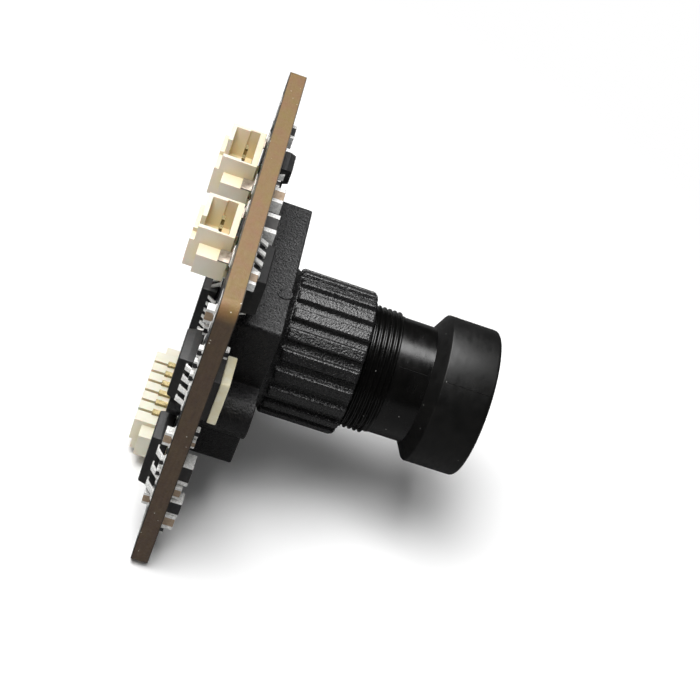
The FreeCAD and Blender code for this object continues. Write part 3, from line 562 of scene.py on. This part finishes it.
def thread_crest(shell, radius, start, end):
    """A helical ridge whose root is sunk into the barrel and whose ends run out."""
    turns = (end - start) / THREAD_PITCH
    steps = int(turns * THREAD_SEGMENTS)
    root = radius - THREAD_DEPTH - THREAD_SINK
    half_root = (THREAD_PITCH - THREAD_ROOT) / 2 + THREAD_SINK * 0.5
    rings = []
    for i in range(steps + 1):
        angle = 2 * math.pi * i / THREAD_SEGMENTS
        along = start + THREAD_PITCH * i / THREAD_SEGMENTS
        ends = min(i, steps - i) / (THREAD_SEGMENTS / 3)
        crest = radius - (THREAD_DEPTH + THREAD_SINK / 2) * (1 - min(1.0, ends))
        section = [
            (root, -half_root),
            (crest, -THREAD_CREST / 2),
            (crest, THREAD_CREST / 2),
            (root, half_root),
        ]
        ring = []
        for r, offset in section:
            x = r * math.cos(angle)
            y = -BOARD_THICKNESS - along - offset
            z = LENS_AXIS_Z + r * math.sin(angle)
            ring.append(shell.verts.new((x * MM, y * MM, z * MM)))
        rings.append(ring)
    for first, second in zip(rings, rings[1:]):
        for k in range(4):
            shell.faces.new((first[k], first[(k + 1) % 4], second[(k + 1) % 4], second[k]))
    shell.faces.new(rings[0])
    shell.faces.new(rings[-1])


def lens_reach(point):
    """How far a point lies from the lens axis, in millimetres."""
    return math.hypot(point.x / MM, point.z / MM - LENS_AXIS_Z)


def lens_along(point):
    """How far a point lies forward of the board's front face, in millimetres."""
    return -point.y / MM - BOARD_THICKNESS


def round_rim(shell, reach, along, width):
    """Rounds the circular edges of the barrel at a radius and a forward distance."""
    def on_rim(point):
        return abs(lens_reach(point) - reach) < NEAR and abs(lens_along(point) - along) < NEAR

    rim = [edge for edge in shell.edges if all(on_rim(vert.co) for vert in edge.verts)]
    bmesh.ops.bevel(shell, geom=rim, offset=width * MM, offset_type="OFFSET", segments=3, profile=0.5,
                    affect="EDGES", clamp_overlap=True)


def dress_barrel():
    """The barrel with softened rims and its fine focus thread cut into the CAD form."""
    shell = cad_shell("lens_barrel")
    radius = max(lens_reach(v.co) for v in shell.verts if lens_along(v.co) < THREAD_END)
    hood = max(lens_reach(v.co) for v in shell.verts)
    front = max(lens_along(v.co) for v in shell.verts)
    bevel_end = min(lens_along(v.co) for v in shell.verts if lens_reach(v.co) > hood - NEAR)
    mouth = min(lens_reach(v.co) for v in shell.verts if lens_along(v.co) > front - NEAR)
    for vert in shell.verts:
        reach = lens_reach(vert.co)
        if lens_along(vert.co) < THREAD_END + THREAD_RELIEF and reach > radius - NEAR:
            share = (radius - THREAD_DEPTH) / reach
            vert.co.x *= share
            vert.co.z = (LENS_AXIS_Z + (vert.co.z / MM - LENS_AXIS_Z) * share) * MM
    round_rim(shell, hood, front, HOOD_ROUND)
    round_rim(shell, mouth, front, MOUTH_ROUND)
    round_rim(shell, hood, bevel_end, BEVEL_ROUND)
    thread_crest(shell, radius, THREAD_START, THREAD_END)
    for face in shell.faces:
        face.material_index = 1 if lens_along(face.calc_center_median()) > NECK_END else 0
    piece = new_piece("lens_barrel_threaded", shell, ["anodised", "hood"], "lens")
    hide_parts("lens_barrel")


# Small things on the board

def frustum(shell, centre, half_size, spread_out, base_y, top_y):
    """A low block on a board face whose foot is wider than its top by a margin all round."""
    rings = []
    for y, grow in ((base_y, spread_out), (top_y, 0.0)):
        ring = []
        for sx, sz in ((-1, -1), (1, -1), (1, 1), (-1, 1)):
            x = centre[0] + sx * (half_size[0] + grow)
            z = centre[1] + sz * (half_size[1] + grow)
            ring.append(shell.verts.new((x * MM, y * MM, z * MM)))
        rings.append(ring)
    shell.faces.new(rings[0])
    shell.faces.new(rings[1])
    for k in range(4):
        after = (k + 1) % 4
        shell.faces.new((rings[0][k], rings[0][after], rings[1][after], rings[1][k]))


def disc(shell, centre, radius, base_y, top_y, hole=0.0, segments=32):
    """A flat round pad or ring on a board face."""
    rings = []
    for y, r in ((base_y, radius), (top_y, radius), (top_y, hole), (base_y, hole)):
        if r <= 0:
            continue
        ring = []
        for i in range(segments):
            angle = 2 * math.pi * i / segments
            place = (centre[0] + r * math.cos(angle), y, centre[1] + r * math.sin(angle))
            ring.append(shell.verts.new([p * MM for p in place]))
        rings.append(ring)
    if len(rings) == 2:
        shell.faces.new(rings[0])
        shell.faces.new(rings[1])
    pairs = list(zip(rings, rings[1:]))
    if hole:
        pairs.append((rings[-1], rings[0]))
    for first, second in pairs:
        for i in range(segments):
            after = (i + 1) % segments
            shell.faces.new((first[i], first[after], second[after], second[i]))


def islands(node):
    """The vertex places of each separate solid of a CAD node, in millimetres, in mesh order."""
    shell = cad_shell(node)
    reached = set()
    found = []
    for start in shell.verts:
        if start in reached:
            continue
        reached.add(start)
        queue = [start]
        places = []
        while queue:
            vert = queue.pop()
            places.append(vert.co / MM)
            for edge in vert.link_edges:
                other = edge.other_vert(vert)
                if other not in reached:
                    reached.add(other)
                    queue.append(other)
        found.append(places)
    shell.free()
    return found


def board_side(places):
    """The board face that a part stands on, and which way is outwards from it."""
    middle = sum(p.y for p in places) / len(places)
    return (0.0, 1) if middle > -BOARD_THICKNESS / 2 else (-BOARD_THICKNESS, -1)


def footprint(places, face_y):
    """Centre and half size of the part of a solid that stands on the board."""
    foot = [p for p in places if abs(p.y - face_y) < FOOT_REACH]
    xs = [p.x for p in foot]
    zs = [p.z for p in foot]
    centre = ((min(xs) + max(xs)) / 2, (min(zs) + max(zs)) / 2)
    return centre, ((max(xs) - min(xs)) / 2, (max(zs) - min(zs)) / 2)


def solder_joints():
    """A low fillet of solder under every lead, chip end and tab. Gives back their places."""
    shell = bmesh.new()
    spots = []
    soldered = ("_leads", "_ends", "_tabs", "_pins", "_terminals")
    for node in frame["nodes"]:
        if not node.endswith(soldered):
            continue
        for places in islands(node):
            face_y, out = board_side(places)
            centre, half = footprint(places, face_y)
            top_half = (half[0] + SOLDER_SHOULDER, half[1] + SOLDER_SHOULDER)
            frustum(shell, centre, top_half, PAD_MARGIN, face_y - out * SINK, face_y + out * SOLDER_HEIGHT)
            spots.append((centre, out))
    new_piece("solder_fillets", shell, ["tin"], "board")
    return spots


def free_spot(x, z):
    """Whether copper may run here: off the board's edges, screws and corner holes."""
    low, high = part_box("circuit_board")
    inside_x = low[0] / MM + EDGE_KEEP_OUT < x < high[0] / MM - EDGE_KEEP_OUT
    inside_z = low[2] / MM + EDGE_KEEP_OUT < z < high[2] / MM - EDGE_KEEP_OUT
    for hole_x in (-HOLE_SPACING / 2, HOLE_SPACING / 2):
        for hole_z in (-HOLE_SPACING / 2, HOLE_SPACING / 2):
            if math.hypot(x - hole_x, z - hole_z) < HOLE_RADIUS + RING_WIDTH + RING_KEEP_OUT:
                return False
    off_screws = math.hypot(abs(x) - SCREW_SPACING / 2, z - LENS_AXIS_Z) > SCREW_KEEP_OUT
    return inside_x and inside_z and off_screws


def strip(shell, start, end, face_y, out, height):
    """A straight run of copper between two places."""
    run = Vector((end[0] - start[0], end[1] - start[1]))
    if run.length < SHORTEST_RUN:
        return
    side = Vector((-run.y, run.x)).normalized() * TRACE_WIDTH / 2
    corners = [
        (start[0] + side.x, start[1] + side.y), (start[0] - side.x, start[1] - side.y),
        (end[0] - side.x, end[1] - side.y), (end[0] + side.x, end[1] + side.y),
    ]
    lower = [shell.verts.new((x * MM, (face_y - out * SINK) * MM, z * MM)) for x, z in corners]
    upper = [shell.verts.new((x * MM, (face_y + out * height) * MM, z * MM)) for x, z in corners]
    shell.faces.new(lower)
    shell.faces.new(upper)
    for k in range(4):
        after = (k + 1) % 4
        shell.faces.new((lower[k], lower[after], upper[after], upper[k]))


def copper_runs(spots):
    """Runs of copper under the lacquer, from the pads to vias by way of a 45 degree bend.

    Each run stands a hair higher than the last, so that no two tops lie in one plane.
    """
    shell = bmesh.new()
    draw = random.Random(COPPER_SEED)
    for index, (centre, out) in enumerate(spots):
        face_y = 0.0 if out > 0 else -BOARD_THICKNESS
        height = COPPER_HEIGHT + COPPER_STEP * index
        place = centre
        heading = draw.choice((0, 90, 180, 270))
        points = [place]
        legs = [
            (draw.uniform(*FIRST_LEG), 0),
            (draw.uniform(*BENT_LEG), draw.choice((-45, 45))),
            (draw.uniform(*LAST_LEG), 0),
        ]
        for length, bend in legs:
            angle = math.radians(heading + bend)
            after = (place[0] + length * math.cos(angle), place[1] + length * math.sin(angle))
            if not free_spot(*after):
                break
            points.append(after)
            place = after
        for start, end in zip(points, points[1:]):
            strip(shell, start, end, face_y, out, height)
        if len(points) > 1:
            via_top = face_y + out * (height + COPPER_STEP / 2)
            disc(shell, place, VIA_RADIUS, face_y - out * SINK, via_top, segments=16)
    new_piece("copper_runs_under_mask", shell, ["copper"], "board")


def hole_rings():
    """Plated rings round the four corner holes, on both faces."""
    shell = bmesh.new()
    for x in (-HOLE_SPACING / 2, HOLE_SPACING / 2):
        for z in (-HOLE_SPACING / 2, HOLE_SPACING / 2):
            for face_y, out in ((0.0, 1), (-BOARD_THICKNESS, -1)):
                disc(shell, (x, z), HOLE_RADIUS + RING_WIDTH, face_y - out * SINK,
                     face_y + out * COPPER_HEIGHT, HOLE_RADIUS + RING_GAP, 48)
    new_piece("corner_hole_rings", shell, ["tin"], "board")


def first_lead_marks():
    """Round dimples beside the first lead of the chips."""
    shell = bmesh.new()
    for node in ("processor", "driver_chip", "memory_chip"):
        low, high = [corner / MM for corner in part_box(node)]
        out = board_side([low, high])[1]
        top = high.y if out > 0 else low.y
        x = low.x + MARK_INSET if out > 0 else high.x - MARK_INSET
        disc(shell, (x, high.z - MARK_INSET), MARK_RADIUS, top - out * MARK_SINK, top + out * MARK_HEIGHT)
    new_piece("first_lead_marks", shell, ["pin_mark"], "board")


def gate_mark():
    """The round mark left where the holder's plastic was injected, on the foot's upper side."""
    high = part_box("lens_holder")[1] / MM
    shell = bmesh.new()
    made = bmesh.ops.create_cone(shell, cap_ends=True, segments=32, radius1=GATE_RADIUS * MM,
                                 radius2=(GATE_RADIUS - GATE_SLOPE) * MM, depth=2 * GATE_HEIGHT * MM)
    place = Matrix.Translation(Vector((GATE_X, GATE_Y, high.z)) * MM)
    bmesh.ops.transform(shell, matrix=place, verts=made["verts"])
    top = max(shell.faces, key=lambda face: face.calc_center_median().z)
    bmesh.ops.inset_individual(shell, faces=[top], thickness=GATE_RIM * MM, depth=0.0)
    bmesh.ops.inset_individual(shell, faces=[top], thickness=GATE_DIP_SLOPE * MM, depth=-GATE_DIP * MM)
    new_piece("holder_gate_mark", shell, ["holder"], "board")


def parting_ridge(shell, angle, reach, start, end):
    """A hairline ridge that runs forward along a round surface of the lens."""
    turn = math.radians(angle)
    outward = Vector((math.cos(turn), 0.0, math.sin(turn)))
    across = Vector((-math.sin(turn), 0.0, math.cos(turn)))
    rings = []
    for y in (start, end):
        ring = []
        on_axis = Vector((0.0, y, LENS_AXIS_Z))
        for height, side in ((-RIDGE_SINK, -1), (-RIDGE_SINK, 1), (RIDGE_HEIGHT, 0)):
            place = outward * (reach + height) + across * side * RIDGE_HALF_WIDTH + on_axis
            ring.append(shell.verts.new(place * MM))
        rings.append(ring)
    shell.faces.new(rings[0])
    shell.faces.new(rings[1])
    for k in range(3):
        after = (k + 1) % 3
        shell.faces.new((rings[0][k], rings[0][after], rings[1][after], rings[1][k]))


def lens_ridges():
    """The hairlines on the hood and the neck, one on each side of the lens."""
    shell = bmesh.new()
    for turn in (0, 180):
        parting_ridge(shell, HOOD_RIDGE_ANGLE + turn, HOOD_RADIUS, *HOOD_RIDGE)
        parting_ridge(shell, NECK_RIDGE_ANGLE + turn, NECK_RADIUS, *NECK_RIDGE)
    new_piece("lens_hairlines", shell, ["hood"], "lens")


def dress_all():
    """Every visible piece, each as a node's finish and the rounding of its edges."""
    dress_board()
    hole_rings()
    copper_runs(solder_joints())
    first_lead_marks()
    gate_mark()
    dress_barrel()
    lens_ridges()
    dress_holder()
    dress("holder_screws", "screw", 0.08)
    dress("image_sensor", "sensor_package", 0.04)
    dress("sensor_cover_glass", "cover_glass", 0.02)
    dress("infrared_filter", "filter_glass", 0.02)
    for node in ("rear_lens", "middle_lens"):
        dress(node, "glass", 0.0)
    dress("front_lens", "front_glass", 0.0)
    for node in ("rear_spacer", "front_spacer", "front_retaining_ring"):
        dress(node, "anodised", 0.04)
    for side, plastic in (("right", "ivory"), ("left", "ivory"), ("cable", "cream")):
        dress(side + "_connector_housing", plastic, 0.06)
        dress(side + "_connector_pins", "gold", 0.03)
        dress(side + "_connector_tabs", "tab", 0.02)
    for chip in ("processor", "driver_chip", "memory_chip", "voltage_regulator"):
        dress(chip, "resin", 0.12)
        dress(chip + "_leads", "tin", 0.0 if chip == "processor" else 0.02)
    for chip in ("protection_diode", "transistor"):
        dress(chip, "resin", 0.04)
        dress(chip + "_leads", "tin", 0.02)
    dress("crystal_base", "crystal_base", 0.05)
    dress("crystal_lid", "crystal_cap", 0.08)
    for part in ("power_inductor", "ferrite_bead"):
        dress(part, "ferrite", 0.05)
        dress(part + "_terminals", "tin", 0.04)
    for side in ("back", "front"):
        dress(side + "_resistors", "resistor", 0.03)
        dress(side + "_resistor_ends", "tin", 0.05)
        dress(side + "_capacitors", "capacitor", 0.04)
        dress(side + "_capacitor_ends", "tin", 0.05)


# Room, lights and camera

def light_path(tree, kind, seen, unseen):
    """A value that rays of one kind read as one level, and other rays as another."""
    path = add_node(tree, "ShaderNodeLightPath")
    mix = add_node(tree, "ShaderNodeMix", data_type="FLOAT")
    tree.links.new(path.outputs[kind], mix.inputs["Factor"])
    for slot, value in ((FLOAT_A, unseen), (FLOAT_B, seen)):
        if isinstance(value, bpy.types.NodeSocket):
            tree.links.new(value, mix.inputs[slot])
        else:
            mix.inputs[slot].default_value = value
    return mix.outputs[FLOAT_RESULT]


def make_floor():
    """White paper under the board's lowest point, plain white to the camera beyond the shadow."""
    half = FLOOR_SIZE / 2 * MM
    level = CAD_BOX[0][2] - FLOOR_DROP * MM
    mesh = bpy.data.meshes.new("floor")
    corners = [(-half, -half, level), (half, -half, level), (half, half, level), (-half, half, level)]
    mesh.from_pydata(corners, [], [(0, 1, 2, 3)])
    floor = bpy.data.objects.new("floor", mesh)
    bpy.context.scene.collection.objects.link(floor)
    paper = bpy.data.materials.new("white_paper")
    paper.use_nodes = True
    tree = paper.node_tree
    tree.nodes.clear()
    unseen = light_path(tree, "Is Glossy Ray", FLOOR_GLOSSY, FLOOR_BOUNCE)
    tone = light_path(tree, "Is Camera Ray", 1.0, unseen)
    grey = add_node(tree, "ShaderNodeCombineColor", {"Red": tone, "Green": tone, "Blue": tone})
    diffuse = add_node(tree, "ShaderNodeBsdfDiffuse", {"Color": grey.outputs["Color"]})
    white = add_node(tree, "ShaderNodeEmission", {"Color": WHITE, "Strength": 1.0})
    spot = add_node(tree, "ShaderNodeTexCoord")
    away = add_node(tree, "ShaderNodeVectorMath", {0: spot.outputs["Object"]}, operation="LENGTH")
    fade = spread(tree, away.outputs["Value"], 0.0, 1.0, SHADOW_REACH * MM, FADE_REACH * MM)
    share = light_path(tree, "Is Camera Ray", fade, 0.0)
    surface = add_node(tree, "ShaderNodeMixShader",
                       {0: share, 1: diffuse.outputs["BSDF"], 2: white.outputs["Emission"]})
    add_node(tree, "ShaderNodeOutputMaterial", {"Surface": surface.outputs["Shader"]})
    mesh.materials.append(paper)


def make_world():
    """White to the camera, dim to everything else."""
    world = bpy.data.worlds.new("studio")
    bpy.context.scene.world = world
    world.use_nodes = True
    tree = world.node_tree
    tree.nodes.clear()
    lit = light_path(tree, "Is Glossy Ray", SKY_GLOSSY, SKY_DIFFUSE)
    strength = light_path(tree, "Is Camera Ray", 1.0, lit)
    back = add_node(tree, "ShaderNodeBackground", {"Color": WHITE, "Strength": strength})
    add_node(tree, "ShaderNodeOutputWorld", {"Surface": back.outputs["Background"]})


def make_softbox(name, place, size, power):
    """A square soft light that faces the object."""
    lamp = bpy.data.lights.new(name, "AREA")
    lamp.shape = "SQUARE"
    lamp.size = size * MM
    lamp.energy = power
    softbox = bpy.data.objects.new(name, lamp)
    softbox.location = place * MM
    softbox.rotation_euler = (-place).to_track_quat("-Z", "Y").to_euler()
    bpy.context.scene.collection.objects.link(softbox)
    return softbox


def make_lights():
    """One softbox lights the object and casts its shadow, and a wider one gives the sheen."""
    make_softbox("key_softbox", KEY_PLACE, KEY_SIZE, KEY_POWER).visible_glossy = False
    make_softbox("sheen_softbox", SHEEN_PLACE, SHEEN_SIZE, SHEEN_POWER).visible_diffuse = False


def make_camera():
    """The photograph's view of the module."""
    lens = bpy.data.cameras.new("camera")
    lens.lens = CAMERA_LENS
    lens.sensor_width = SENSOR_WIDTH
    lens.clip_start = CLIP_NEAR * MM
    lens.clip_end = CLIP_FAR * MM
    forward = VIEW_DIRECTION.normalized()
    right = (IMAGE_RIGHT - IMAGE_RIGHT.dot(forward) * forward).normalized()
    up = right.cross(forward)
    turn = Matrix((right, up, -forward)).transposed().to_4x4()
    camera = bpy.data.objects.new("camera", lens)
    camera.matrix_world = Matrix.Translation(CAMERA_PLACE * MM) @ turn
    bpy.context.scene.collection.objects.link(camera)
    bpy.context.scene.camera = camera


bpy.context.scene.view_settings.view_transform = "Standard"
make_camera()
make_world()
make_floor()
make_lights()
dress_all()
